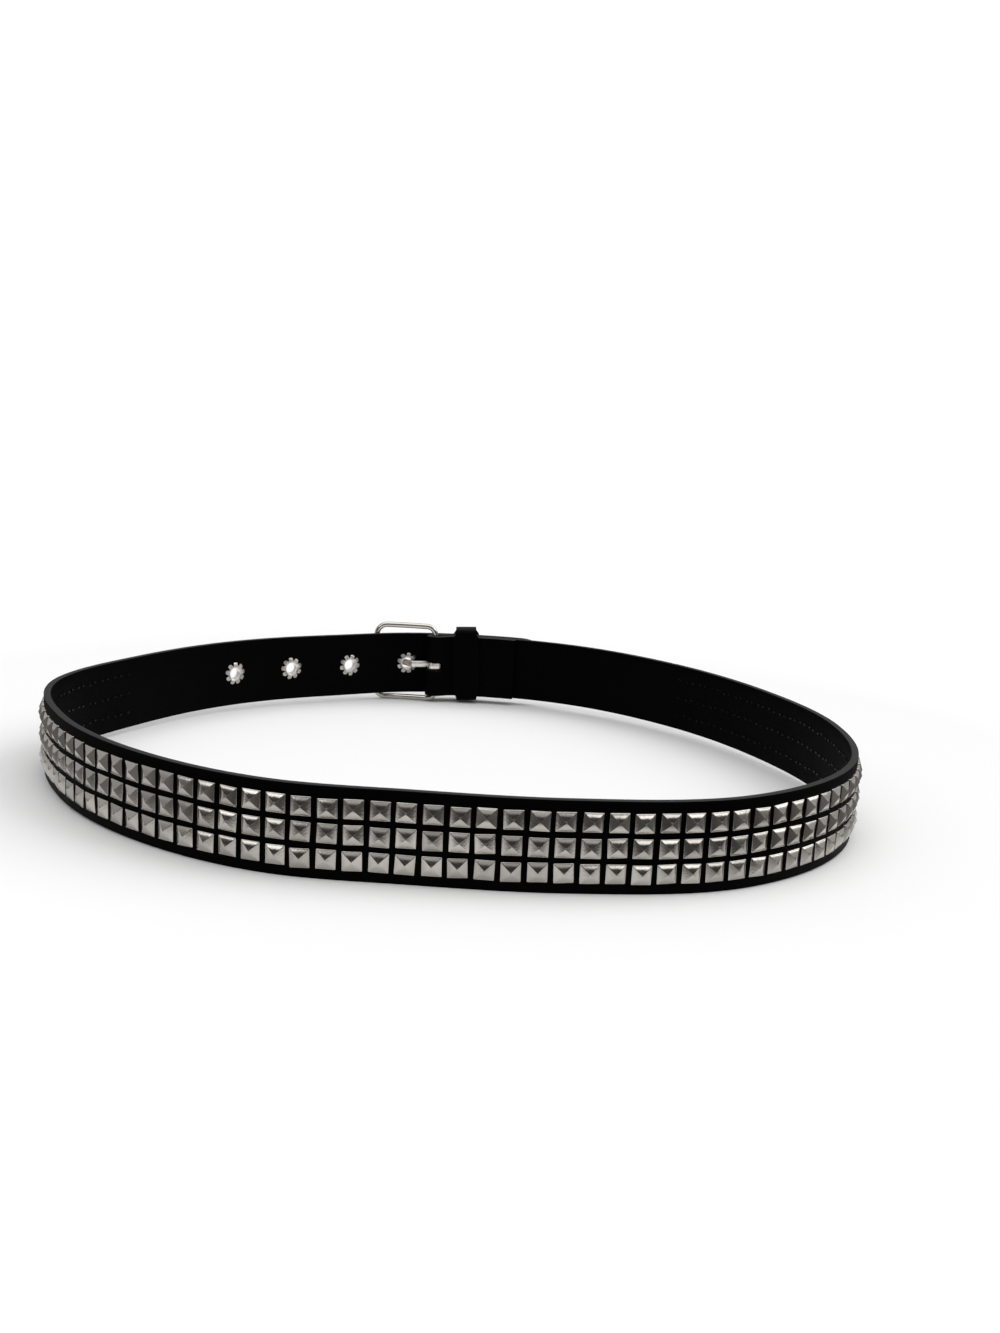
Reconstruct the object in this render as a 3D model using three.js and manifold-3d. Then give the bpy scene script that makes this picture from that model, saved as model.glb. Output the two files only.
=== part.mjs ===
// A black leather belt with three rows of pyramid studs, buckled into a loop and standing on its edge.
// Millimetres, +Z up. The buckle is at the back, towards +Y, and the free end comes to it from the -X side.
import * as THREE from 'three';
import { mergeVertices } from 'three/addons/utils/BufferGeometryUtils.js';
import Module from 'manifold-3d';

const wasm = await Module();
wasm.setup();

// The strap, its loop and the clearance that is kept between pieces
const STRAP_WIDTH = 36.2;
const LEATHER = 3;
const LOOP_RADIUS = 175;
const STATION_STEP = 9;
const CLEARANCE = 0.4;

// The radius of the strap's outer face round the loop, as shares of LOOP_RADIUS, clockwise from the back
const LOOP_FORM = [
  { bearing: 0, share: 1.034 },
  { bearing: 22.5, share: 1.053 },
  { bearing: 45, share: 1.039 },
  { bearing: 67.5, share: 1.043 },
  { bearing: 90, share: 1.086 },
  { bearing: 112.5, share: 1.109 },
  { bearing: 135, share: 1.042 },
  { bearing: 157.5, share: 0.907 },
  { bearing: 180, share: 0.842 },
  { bearing: 202.5, share: 0.879 },
  { bearing: 225, share: 0.918 },
  { bearing: 247.5, share: 0.979 },
  { bearing: 270, share: 1.044 },
  { bearing: 292.5, share: 0.995 },
  { bearing: 315, share: 0.986 },
  { bearing: 337.5, share: 0.991 },
];

// The heel bar's place on the loop, where the strap is folded round the bar
const HEEL_BEARING = -3.8;
const FOLD_LENGTH = 50;
const WRAP_STEPS = 8;

// The free end, which leaves the loop's line to pass over the heel bar
const TIP_PAST_BAR = 74;
const TIP_ROUNDING = 22;
const TIP_STEPS = 6;
const TIP_BLUNT = 1.2;
const LAP_RAMP = 70;
const LAP_REST = 8;
const LAP_GAP = 1.4;

// Pyramid studs in rows and columns
const STUD_SIZE = 7.8;
const STUD_CROWN = 0.05;
const STUD_PITCH = 9.8;
const STUD_ROW_PITCH = 10;
const STUD_SKIRT = 1.1;
const STUD_PEAK = 2.5;
const STUD_SUNK = 0.6;
const STUD_ROWS = 3;
const STUD_START = 160.1;
const STUDS_TO_EYELETS = 66;

// Eyelets, counted from the one farthest from the tip
const EYELET_COUNT = 5;
const EYELET_PITCH = 36.8;
const EYELET_IN_USE = 4;
const EYELET_FROM_BAR = 16;
const EYELET_BORE = 6.4;
const EYELET_WALL = 0.5;
const EYELET_FLANGE = 11;
const EYELET_SHEET = 0.5;
const EYELET_SIDES = 16;
const PETAL_COUNT = 9;
const PETAL_REACH = 5.8;
const PETAL_ROOT = 4.4;

// The buckle: a frame of round wire with its heel bar, and the prong that turns on the bar
const FRAME_WIRE = 3.2;
const FRAME_ROOM_ABOVE = 3.6;
const FRAME_ROOM_BELOW = 1;
const FRAME_CORNER = 6;
const FRAME_BAR_DISTANCE = 34;
const FRAME_BOW = 1.2;
const FRAME_SIDES = 10;
const FRAME_CORNER_STEPS = 5;
const PRONG_WIDTH = 3.9;
const PRONG_THICK = 2.2;
const PRONG_STEP = 1.3;
const PRONG_PAST_BAR = 4.5;
const PRONG_SIDES = 8;
const CURL_FROM = -40;
const CURL_TO = 180;
const CURL_STEPS = 8;
const SLOT_MARGIN = 0.7;

// The keeper, a leather loop that holds the free end down
const KEEPER_WIDTH = 15.5;
const KEEPER_FROM_BAR = 20;
const KEEPER_ROOM_ABOVE = 2.6;
const KEEPER_ROOM_BELOW = 0.6;
const KEEPER_LEATHER = 1.9;
const KEEPER_ROUNDING = 1.8;

const LEATHER_FINISH = { color: 0x0d0d0e, roughness: 0.5, metalness: 0 };
const NICKEL_FINISH = { color: 0xc9c6c0, roughness: 0.22, metalness: 1 };

// Distance from the centre to the strap's outer face, smoothly between the rows of LOOP_FORM
function loopRadius(bearing) {
  const count = LOOP_FORM.length;
  const place = THREE.MathUtils.euclideanModulo(bearing / 360, 1) * count;
  const row = Math.floor(place);
  const t = place - row;
  const share = (step) => LOOP_FORM[(row + step + count) % count].share;
  const [before, from, to, after] = [share(-1), share(0), share(1), share(2)];
  const slope = (to - before) * t;
  const bend = (2 * before - 5 * from + 4 * to - after) * t * t;
  const twist = (3 * from - before - 3 * to + after) * t * t * t;
  return LOOP_RADIUS * (from + 0.5 * (slope + bend + twist));
}

function loopPoint(bearing) {
  const angle = THREE.MathUtils.degToRad(bearing);
  return new THREE.Vector2(Math.sin(angle), Math.cos(angle)).multiplyScalar(loopRadius(bearing));
}

// Distances along the loop, measured once from the heel bar in small steps
const LOOP_STEPS = 1440;
const loopTable = [{ distance: 0, bearing: HEEL_BEARING }];
for (let step = 1; step <= LOOP_STEPS; step++) {
  const last = loopTable[step - 1];
  const bearing = HEEL_BEARING + (360 * step) / LOOP_STEPS;
  const distance = last.distance + loopPoint(bearing).distanceTo(loopPoint(last.bearing));
  loopTable.push({ distance, bearing });
}
const LOOP_LENGTH = loopTable[LOOP_STEPS].distance;

function bearingAt(distance) {
  const along = THREE.MathUtils.euclideanModulo(distance, LOOP_LENGTH);
  let low = 0;
  let high = LOOP_STEPS;
  while (high - low > 1) {
    const middle = (low + high) >> 1;
    if (loopTable[middle].distance <= along) low = middle;
    else high = middle;
  }
  const share = (along - loopTable[low].distance) / (loopTable[high].distance - loopTable[low].distance);
  return THREE.MathUtils.lerp(loopTable[low].bearing, loopTable[high].bearing, share);
}

// Degrees to either side of a point over which the heading is taken
const HEADING_REACH = 0.05;

// Heading and outward normal of the loop at a distance from the heel bar
function headingAt(distance) {
  const bearing = bearingAt(distance);
  const ahead = loopPoint(bearing + HEADING_REACH);
  const heading = ahead.sub(loopPoint(bearing - HEADING_REACH)).normalize();
  return { heading, outward: new THREE.Vector2(-heading.y, heading.x) };
}

// The point in plan at a distance along the loop and an offset outwards
function plan(distance, offset) {
  const { outward } = headingAt(distance);
  return loopPoint(bearingAt(distance)).addScaledVector(outward, offset);
}

// How far the free end's outer face stands outside the loop's line, as it climbs over the heel bar
function lap(distance) {
  const climbed = THREE.MathUtils.smoothstep(distance, LOOP_LENGTH - LAP_RAMP, LOOP_LENGTH - LAP_REST);
  return climbed * (LEATHER + LAP_GAP);
}

function inSteps(from, to, step) {
  const count = Math.max(1, Math.ceil(Math.abs(to - from) / step));
  return Array.from({ length: count + 1 }, (_, index) => THREE.MathUtils.lerp(from, to, index / count));
}

// Closed solid through cross sections that are rings of points, with flat ends or joined to a ring.
// Each ring turns clockwise as seen by someone who looks along the sections.
function loft(sections, joined = false) {
  const sides = sections[0].length;
  const positions = sections.flat().flatMap((point) => [point.x, point.y, point.z]);
  const faces = [];
  const spans = joined ? sections.length : sections.length - 1;
  for (let row = 0; row < spans; row++) {
    const here = row * sides;
    const next = ((row + 1) % sections.length) * sides;
    for (let side = 0; side < sides; side++) {
      const turn = (side + 1) % sides;
      faces.push(here + side, next + turn, here + turn, here + side, next + side, next + turn);
    }
  }
  if (!joined) {
    const last = (sections.length - 1) * sides;
    for (let side = 1; side < sides - 1; side++) {
      faces.push(0, side, side + 1);
      faces.push(last, last + side + 1, last + side);
    }
  }
  const geometry = new THREE.BufferGeometry();
  geometry.setAttribute('position', new THREE.Float32BufferAttribute(positions, 3));
  geometry.setIndex(faces);
  return geometry;
}

function toSolid(geometry) {
  const bare = geometry.clone();
  bare.deleteAttribute('normal');
  bare.deleteAttribute('uv');
  const merged = mergeVertices(bare, 1e-4);
  const vertProperties = new Float32Array(merged.attributes.position.array);
  const triVerts = new Uint32Array(merged.index.array);
  return new wasm.Manifold(new wasm.Mesh({ numProp: 3, vertProperties, triVerts }));
}

function fromSolid(solid) {
  const mesh = solid.getMesh();
  const geometry = new THREE.BufferGeometry();
  geometry.setAttribute('position', new THREE.BufferAttribute(mesh.vertProperties, 3));
  geometry.setIndex(new THREE.BufferAttribute(mesh.triVerts, 1));
  return geometry.toNonIndexed();
}

function joinAll(solids) {
  let layer = solids;
  while (layer.length > 1) {
    const joined = [];
    for (let index = 0; index < layer.length; index += 2) {
      const pair = layer[index + 1];
      joined.push(pair ? layer[index].add(pair) : layer[index]);
    }
    layer = joined;
  }
  return layer[0];
}

// The heel bar's centre lies inside the fold of the strap
const BAR_RADIUS = FRAME_WIRE / 2;
const FOLD_RADIUS = BAR_RADIUS + CLEARANCE;
const BAR_OFFSET = -(LEATHER + FOLD_RADIUS);

// A matrix with X along the outward direction, Y back along the strap and Z up, at a point in plan
function placing(point, heading, height) {
  const matrix = new THREE.Matrix4().makeBasis(
    new THREE.Vector3(-heading.y, heading.x, 0),
    new THREE.Vector3(-heading.x, -heading.y, 0),
    new THREE.Vector3(0, 0, 1),
  );
  return matrix.setPosition(point.x, point.y, height);
}

function frameAt(distance, offset, height) {
  return placing(plan(distance, offset), headingAt(distance).heading, height);
}

const eyeletDistance = (index) =>
  LOOP_LENGTH - EYELET_FROM_BAR + (index + 1 - EYELET_IN_USE) * EYELET_PITCH;

// The studs fill the strap up to the bare stretch before the first eyelet
function studColumns() {
  return Math.floor((eyeletDistance(0) - STUDS_TO_EYELETS - STUD_START) / STUD_PITCH);
}

// The middle of an eyelet's hole, square to the strap where the free end climbs
function eyeletFrame(index) {
  const distance = eyeletDistance(index);
  const reach = EYELET_FLANGE / 2;
  const before = plan(distance - reach, lap(distance - reach));
  const after = plan(distance + reach, lap(distance + reach));
  const heading = after.clone().sub(before).normalize();
  const outward = new THREE.Vector2(-heading.y, heading.x);
  const point = plan(distance, lap(distance)).addScaledVector(outward, -LEATHER / 2);
  return placing(point, heading, STRAP_WIDTH / 2);
}

// Sections of the strap from the folded end, round the heel bar and round the loop to the tip
function strapStations() {
  const stations = [];
  const full = { low: 0, high: STRAP_WIDTH };
  for (const distance of inSteps(FOLD_LENGTH, 0, STATION_STEP / 2).slice(0, -1)) {
    const settled = THREE.MathUtils.smoothstep(distance, 0, KEEPER_FROM_BAR - KEEPER_WIDTH / 2);
    const facing = THREE.MathUtils.lerp(BAR_OFFSET - FOLD_RADIUS, -LEATHER - CLEARANCE, settled);
    stations.push({ left: plan(distance, facing - LEATHER), right: plan(distance, facing), ...full });
  }
  const { heading, outward } = headingAt(0);
  const barCentre = plan(0, BAR_OFFSET);
  for (let step = 0; step < WRAP_STEPS; step++) {
    const angle = (Math.PI * step) / WRAP_STEPS;
    const ray = outward.clone().multiplyScalar(-Math.cos(angle)).addScaledVector(heading, -Math.sin(angle));
    const left = barCentre.clone().addScaledVector(ray, FOLD_RADIUS + LEATHER);
    const right = barCentre.clone().addScaledVector(ray, FOLD_RADIUS);
    stations.push({ left, right, ...full });
  }
  const studEnd = STUD_START + studColumns() * STUD_PITCH;
  const tipEnd = LOOP_LENGTH + TIP_PAST_BAR;
  const roundFrom = tipEnd - TIP_ROUNDING;
  const distances = [
    ...inSteps(0, STUD_START, STATION_STEP).slice(0, -1),
    ...inSteps(STUD_START, studEnd, STUD_PITCH).slice(0, -1),
    ...inSteps(studEnd, roundFrom, STATION_STEP).slice(0, -1),
    ...inSteps(roundFrom, tipEnd, TIP_ROUNDING / TIP_STEPS),
  ];
  for (const distance of distances) {
    const share = Math.max(0, (distance - roundFrom) / TIP_ROUNDING);
    const half = Math.max(TIP_BLUNT, (STRAP_WIDTH / 2) * Math.sqrt(Math.max(0, 1 - share * share)));
    stations.push({
      left: plan(distance, lap(distance)),
      right: plan(distance, lap(distance) - LEATHER),
      low: STRAP_WIDTH / 2 - half,
      high: STRAP_WIDTH / 2 + half,
    });
  }
  return stations;
}

function strapBand() {
  const sections = strapStations().map(({ left, right, low, high }) => [
    new THREE.Vector3(left.x, left.y, low),
    new THREE.Vector3(right.x, right.y, low),
    new THREE.Vector3(right.x, right.y, high),
    new THREE.Vector3(left.x, left.y, high),
  ]);
  return toSolid(loft(sections));
}

// One stud: a short square skirt under a four-sided pyramid, its X outwards
function studGeometry() {
  const square = (size, out) => [[-1, -1], [-1, 1], [1, 1], [1, -1]].map(
    ([along, up]) => new THREE.Vector3(out, (along * size) / 2, (up * size) / 2),
  );
  return loft([
    square(STUD_SIZE, -STUD_SUNK),
    square(STUD_SIZE, STUD_SKIRT),
    square(STUD_CROWN, STUD_PEAK),
  ]);
}

function studField() {
  const shape = toSolid(studGeometry());
  const studs = [];
  for (let column = 0; column < studColumns(); column++) {
    const from = plan(STUD_START + column * STUD_PITCH, 0);
    const to = plan(STUD_START + (column + 1) * STUD_PITCH, 0);
    const middle = from.clone().add(to).multiplyScalar(0.5);
    const heading = to.clone().sub(from).normalize();
    for (let row = 0; row < STUD_ROWS; row++) {
      const height = STRAP_WIDTH / 2 + (row - (STUD_ROWS - 1) / 2) * STUD_ROW_PITCH;
      studs.push(shape.transform(placing(middle, heading, height).elements));
    }
  }
  return studs;
}

// A round cutter through the leather for an eyelet, its axis across the strap
function holeCutter(index) {
  const radius = EYELET_BORE / 2 + EYELET_WALL + CLEARANCE;
  const geometry = new THREE.CylinderGeometry(radius, radius, LEATHER * 2, EYELET_SIDES);
  geometry.rotateZ(Math.PI / 2);
  geometry.applyMatrix4(eyeletFrame(index));
  return toSolid(geometry);
}

// The slot in the fold that lets the prong reach the heel bar
function slotCutter() {
  const reach = FOLD_RADIUS + LEATHER + CLEARANCE;
  const depth = 2 * reach + CLEARANCE;
  const geometry = new THREE.BoxGeometry(depth, 2 * reach, PRONG_WIDTH + 2 * SLOT_MARGIN);
  geometry.applyMatrix4(frameAt(0, BAR_OFFSET, STRAP_WIDTH / 2));
  return toSolid(geometry);
}

function studdedStrap() {
  let solid = joinAll([strapBand(), ...studField()]);
  for (let index = 0; index < EYELET_COUNT; index++) solid = solid.subtract(holeCutter(index));
  return fromSolid(solid.subtract(slotCutter()));
}

// An eyelet: a rolled flange outside, a barrel through the leather and clenched petals inside
function eyelet(index) {
  const bore = EYELET_BORE / 2;
  const barrel = bore + EYELET_WALL;
  const outside = LEATHER / 2 + CLEARANCE;
  const profile = [
    [bore, -outside - EYELET_SHEET],
    [barrel, -outside - EYELET_SHEET],
    [barrel, outside],
    [EYELET_FLANGE / 2, outside],
    [EYELET_FLANGE / 2 - EYELET_SHEET / 2, outside + EYELET_SHEET],
    [bore, outside + EYELET_SHEET],
    [bore, -outside - EYELET_SHEET],
  ].map(([radius, height]) => new THREE.Vector2(radius, height));
  const tube = new THREE.LatheGeometry(profile, EYELET_SIDES);
  tube.rotateZ(-Math.PI / 2);
  const star = new THREE.Shape();
  for (let corner = 0; corner < 2 * PETAL_COUNT; corner++) {
    const angle = (Math.PI * corner) / PETAL_COUNT;
    const reach = corner % 2 ? PETAL_ROOT : PETAL_REACH;
    star[corner ? 'lineTo' : 'moveTo'](reach * Math.cos(angle), reach * Math.sin(angle));
  }
  const opening = new THREE.Path().absarc(0, 0, (bore + barrel) / 2, 0, 2 * Math.PI, true);
  star.holes.push(opening);
  const pressed = { depth: EYELET_SHEET, bevelEnabled: false, curveSegments: PETAL_COUNT };
  const petals = new THREE.ExtrudeGeometry(star, pressed);
  petals.rotateY(Math.PI / 2);
  petals.translate(-outside - EYELET_SHEET, 0, 0);
  return fromSolid(toSolid(tube).add(toSolid(petals)).transform(eyeletFrame(index).elements));
}

// The buckle's own plan: from the heel bar's centre to the far bar, which lies outside the free end
const heelCentre = plan(0, BAR_OFFSET);
const farBarPlace = LOOP_LENGTH - FRAME_BAR_DISTANCE;
const farCentre = plan(farBarPlace, lap(farBarPlace) + CLEARANCE + BAR_RADIUS);
const frameSpan = farCentre.clone().sub(heelCentre);
const frameAlong = frameSpan.clone().normalize();
const frameOut = new THREE.Vector2(frameAlong.y, -frameAlong.x);

// A point of the frame's centre line: a share of the way to the far bar, and a height
function framePoint(share, height) {
  const bow = FRAME_BOW * 4 * share * (1 - share);
  const point = heelCentre.clone().addScaledVector(frameSpan, share).addScaledVector(frameOut, bow);
  return new THREE.Vector3(point.x, point.y, height);
}

// Heights of the rails' centre lines. The rooms are the daylight between the strap's edges and the rails.
const railAbove = STRAP_WIDTH + FRAME_ROOM_ABOVE + BAR_RADIUS;
const railBelow = -FRAME_ROOM_BELOW - BAR_RADIUS;

// Places along the frame's centre line, a rectangle with round corners. The corners at the heel bar are
// small enough to leave the bar straight as far as the strap is wide.
function frameOutline() {
  const upperHeel = railAbove - STRAP_WIDTH;
  const lowerHeel = -railBelow;
  const length = frameSpan.length();
  const farAlong = length - FRAME_CORNER;
  const corners = [
    { radius: FRAME_CORNER, along: farAlong, up: railAbove - FRAME_CORNER, start: 0 },
    { radius: upperHeel, along: upperHeel, up: STRAP_WIDTH, start: 90 },
    { radius: lowerHeel, along: lowerHeel, up: 0, start: 180 },
    { radius: FRAME_CORNER, along: farAlong, up: railBelow + FRAME_CORNER, start: 270 },
  ];
  const outline = [];
  for (const { radius, along, up, start } of corners) {
    for (let step = 0; step <= FRAME_CORNER_STEPS; step++) {
      const angle = THREE.MathUtils.degToRad(start + (90 * step) / FRAME_CORNER_STEPS);
      const across = along + radius * Math.cos(angle);
      outline.push({ across, up: up + radius * Math.sin(angle), angle });
    }
  }
  return outline.map(({ across, up, angle }) => ({ share: across / length, up, angle }));
}

function buckleFrame() {
  const sections = frameOutline().map(({ share, up, angle }) => {
    const centre = framePoint(share, up);
    const side = new THREE.Vector3(frameAlong.x, frameAlong.y, 0).multiplyScalar(Math.cos(angle));
    side.z = Math.sin(angle);
    const out = new THREE.Vector3(frameOut.x, frameOut.y, 0);
    return Array.from({ length: FRAME_SIDES }, (_, index) => {
      const turn = (2 * Math.PI * index) / FRAME_SIDES;
      return centre.clone()
        .addScaledVector(side, BAR_RADIUS * Math.cos(turn))
        .addScaledVector(out, BAR_RADIUS * Math.sin(turn));
    });
  });
  return loft(sections, true);
}

// The prong's centre line in plan: curled round the heel bar, through the eyelet and over the far bar
function prongLine() {
  const curl = BAR_RADIUS + CLEARANCE + PRONG_THICK / 2;
  const { heading, outward } = headingAt(0);
  const points = [];
  for (let step = 0; step <= CURL_STEPS; step++) {
    const angle = THREE.MathUtils.degToRad(THREE.MathUtils.lerp(CURL_FROM, CURL_TO, step / CURL_STEPS));
    const ray = outward.clone().multiplyScalar(-Math.cos(angle)).addScaledVector(heading, Math.sin(angle));
    points.push(heelCentre.clone().addScaledVector(ray, curl));
  }
  const hole = eyeletDistance(EYELET_IN_USE - 1);
  const inside = lap(hole) - LEATHER - CLEARANCE;
  const outside = lap(hole) + CLEARANCE;
  const armOffset = BAR_OFFSET + curl;
  const lead = 2.5 * PRONG_STEP;
  const overFlange = outside + EYELET_SHEET + CLEARANCE + PRONG_THICK / 2;
  const overBar = lap(farBarPlace) + 2 * CLEARANCE + FRAME_WIRE + PRONG_THICK / 2;
  points.push(plan(hole + EYELET_BORE, armOffset));
  points.push(plan(hole + lead, armOffset));
  points.push(plan(hole + PRONG_STEP, inside));
  points.push(plan(hole - PRONG_STEP, outside));
  points.push(plan(hole - lead, overFlange));
  points.push(plan(farBarPlace + FRAME_WIRE, overBar));
  points.push(plan(farBarPlace, overBar));
  points.push(plan(farBarPlace - PRONG_PAST_BAR, overBar - CLEARANCE));
  return points;
}

function buckleProng() {
  const line = prongLine();
  const sections = line.map((point, index) => {
    const before = line[Math.max(0, index - 1)];
    const after = line[Math.min(line.length - 1, index + 1)];
    const along = after.clone().sub(before).normalize();
    const side = new THREE.Vector3(-along.y, along.x, 0);
    return Array.from({ length: PRONG_SIDES }, (_, corner) => {
      const turn = (2 * Math.PI * (corner + 0.5)) / PRONG_SIDES;
      const centre = new THREE.Vector3(point.x, point.y, STRAP_WIDTH / 2);
      centre.z -= (PRONG_WIDTH / 2) * Math.sin(turn);
      return centre.addScaledVector(side, (PRONG_THICK / 2) * Math.cos(turn));
    });
  });
  return loft(sections);
}

// The keeper: a flat leather loop round the strap, its folded end and the free end
function keeperLoop() {
  const outside = lap(LOOP_LENGTH + KEEPER_FROM_BAR) + 2 * CLEARANCE + EYELET_SHEET;
  const inside = -2 * (LEATHER + CLEARANCE) - CLEARANCE;
  const below = -KEEPER_ROOM_BELOW;
  const above = STRAP_WIDTH + KEEPER_ROOM_ABOVE;
  const wall = KEEPER_LEATHER;
  const shape = roundedBox(inside - wall, outside + wall, below - wall, above + wall, KEEPER_ROUNDING);
  const opening = new THREE.Path([[inside, below], [inside, above], [outside, above], [outside, below]].map(
    ([across, up]) => new THREE.Vector2(across, up),
  ));
  shape.holes.push(opening);
  const cut = { depth: KEEPER_WIDTH, bevelEnabled: false, curveSegments: 3 };
  const geometry = new THREE.ExtrudeGeometry(shape, cut);
  geometry.translate(0, 0, -KEEPER_WIDTH / 2);
  geometry.applyMatrix4(new THREE.Matrix4().makeBasis(
    new THREE.Vector3(1, 0, 0),
    new THREE.Vector3(0, 0, 1),
    new THREE.Vector3(0, -1, 0),
  ));
  geometry.applyMatrix4(frameAt(KEEPER_FROM_BAR, 0, 0));
  return geometry;
}

function roundedBox(left, right, low, high, radius) {
  const shape = new THREE.Shape();
  shape.absarc(right - radius, low + radius, radius, -Math.PI / 2, 0, false);
  shape.absarc(right - radius, high - radius, radius, 0, Math.PI / 2, false);
  shape.absarc(left + radius, high - radius, radius, Math.PI / 2, Math.PI, false);
  shape.absarc(left + radius, low + radius, radius, Math.PI, 1.5 * Math.PI, false);
  return shape;
}

const belt = new THREE.Group();

function addPiece(name, geometry, finish) {
  const mesh = new THREE.Mesh(geometry, new THREE.MeshStandardMaterial(finish));
  mesh.name = name;
  belt.add(mesh);
}

addPiece('studded_strap', studdedStrap(), LEATHER_FINISH);
addPiece('buckle_frame', buckleFrame(), NICKEL_FINISH);
addPiece('buckle_prong', buckleProng(), NICKEL_FINISH);
addPiece('keeper_loop', keeperLoop(), LEATHER_FINISH);
for (let index = 0; index < EYELET_COUNT; index++) {
  addPiece(`eyelet_${index + 1}`, eyelet(index), NICKEL_FINISH);
}

// The taller buckle lifts the back of the stiff loop, so that it stands on the frame and on its front edge
const frontDepth = Math.min(...loopTable.map(({ bearing }) => loopPoint(bearing).y));
const overhang = BAR_RADIUS - railBelow;
belt.rotation.x = Math.atan2(overhang, (heelCentre.y + farCentre.y) / 2 - frontDepth);

// The loop is set down with the middle of its footprint at the origin
belt.updateMatrixWorld(true);
const extent = new THREE.Box3().setFromObject(belt, true);
belt.position.set(-(extent.min.x + extent.max.x) / 2, -(extent.min.y + extent.max.y) / 2, -extent.min.z);

const part = new THREE.Group();
part.add(belt);

export default part;
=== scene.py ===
# %% [markdown]
# # A studded belt, buckled into a loop and standing on its edge
# The belt is one thick leather strap with three rows of pyramid studs, a wire buckle at the back, a keeper
# beside it and a row of eyelets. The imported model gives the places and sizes, and this lesson dresses it:
# every piece is shaped flat or upright first, in the way the real one is made, and then laid onto the loop.

# %% Load the frame
import bisect
import math
import random

import bmesh
import bpy
from mathutils import Euler, Matrix, Vector


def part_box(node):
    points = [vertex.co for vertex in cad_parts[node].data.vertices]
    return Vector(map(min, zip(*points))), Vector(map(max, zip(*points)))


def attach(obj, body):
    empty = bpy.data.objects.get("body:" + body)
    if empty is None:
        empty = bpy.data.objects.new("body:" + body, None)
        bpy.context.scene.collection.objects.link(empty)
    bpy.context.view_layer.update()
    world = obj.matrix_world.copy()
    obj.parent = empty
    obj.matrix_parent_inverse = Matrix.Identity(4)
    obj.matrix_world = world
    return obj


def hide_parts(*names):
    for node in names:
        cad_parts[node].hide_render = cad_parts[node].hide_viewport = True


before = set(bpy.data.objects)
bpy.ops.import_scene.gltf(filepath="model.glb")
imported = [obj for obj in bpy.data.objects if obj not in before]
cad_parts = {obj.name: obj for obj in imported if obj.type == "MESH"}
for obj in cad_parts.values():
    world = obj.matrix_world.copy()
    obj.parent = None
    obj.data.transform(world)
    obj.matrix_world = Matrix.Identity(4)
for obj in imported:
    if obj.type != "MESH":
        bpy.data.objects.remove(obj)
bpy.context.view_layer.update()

MM = 0.001

# %% [markdown]
# ## The camera
# The belt was photographed from a low stand, a little above the table and slightly rolled. A camera object
# takes a place, three angles and a lens, so the view is written as those few numbers.

# %% Camera
# Angles in degrees, the lens and the sensor in millimetres
CAMERA_PLACE = Vector((24.55, -641.6, 174.4)) * MM
CAMERA_DOWN = 10.71
CAMERA_ROLL = 3.27
CAMERA_LENS = 36.25
SENSOR_WIDTH = 36

camera_data = bpy.data.cameras.new("studio_camera")
camera_data.sensor_width = SENSOR_WIDTH
camera_data.lens = CAMERA_LENS
camera = bpy.data.objects.new("studio_camera", camera_data)
bpy.context.scene.collection.objects.link(camera)
bpy.context.scene.camera = camera
camera.location = CAMERA_PLACE
aim = Euler((math.radians(90 - CAMERA_DOWN), 0, 0)).to_matrix()
camera.rotation_euler = (aim @ Matrix.Rotation(math.radians(CAMERA_ROLL), 3, "Z")).to_euler()
print("camera", round(CAMERA_PLACE.length / MM), "mm from the belt's middle")

# %% [markdown]
# ## Shader maths as plain expressions
# A finish is a tree of nodes. Placing nodes one by one hides the idea, so one small class wraps a node's
# output and lets it be added, subtracted and multiplied, and one method makes every other kind of node.
# A colour Mix node keeps all its kinds of value in one row of sockets, so the colour ones are named here.

# %% Node maths
MIX_FACTOR, MIX_FIRST, MIX_SECOND, MIX_RESULT = 0, 6, 7, 2


class Field:
    """A value that varies over a surface."""

    def __init__(self, nodes, socket):
        self.nodes = nodes
        self.socket = socket

    def maths(self, operation, first, second):
        return self.nodes.add("ShaderNodeMath", {"operation": operation}, {0: first, 1: second})

    def __add__(self, other):
        return self.maths("ADD", self, other)

    def __sub__(self, other):
        return self.maths("SUBTRACT", self, other)

    def __rsub__(self, other):
        return self.maths("SUBTRACT", other, self)

    def __mul__(self, other):
        return self.maths("MULTIPLY", self, other)

    __radd__ = __add__
    __rmul__ = __mul__


print("a field can be added, subtracted and multiplied")

# %% Node trees
class Nodes:
    """The node tree of a finish or of the world."""

    def __init__(self, tree):
        self.tree = tree

    def feed(self, socket, value):
        if isinstance(value, Field):
            self.tree.links.new(value.socket, socket)
        else:
            socket.default_value = value

    def add(self, kind, settings, inputs, output=0):
        node = self.tree.nodes.new(kind)
        for name, value in settings.items():
            setattr(node, name, value)
        for name, value in inputs.items():
            self.feed(node.inputs[name], value)
        return Field(self, node.outputs[output])

    def blend(self, factor, first, second):
        ends = [end if isinstance(end, Field) else (*end, 1) for end in (first, second)]
        inputs = {MIX_FACTOR: factor, MIX_FIRST: ends[0], MIX_SECOND: ends[1]}
        return self.add("ShaderNodeMix", {"data_type": "RGBA"}, inputs, output=MIX_RESULT)

    def between(self, value, low, high):
        """0 at low, 1 at high and held beyond both."""
        return self.add("ShaderNodeMapRange", {}, {"Value": value, "From Min": low, "From Max": high})

    def axis(self, vector, name):
        return self.add("ShaderNodeSeparateXYZ", {}, {"Vector": vector}, output=name)

    def length(self, vector):
        return self.add("ShaderNodeVectorMath", {"operation": "LENGTH"}, {0: vector}, output="Value")

    def ray(self, name):
        return self.add("ShaderNodeLightPath", {}, {}, output=name)


print("node trees hold fields")

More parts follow.
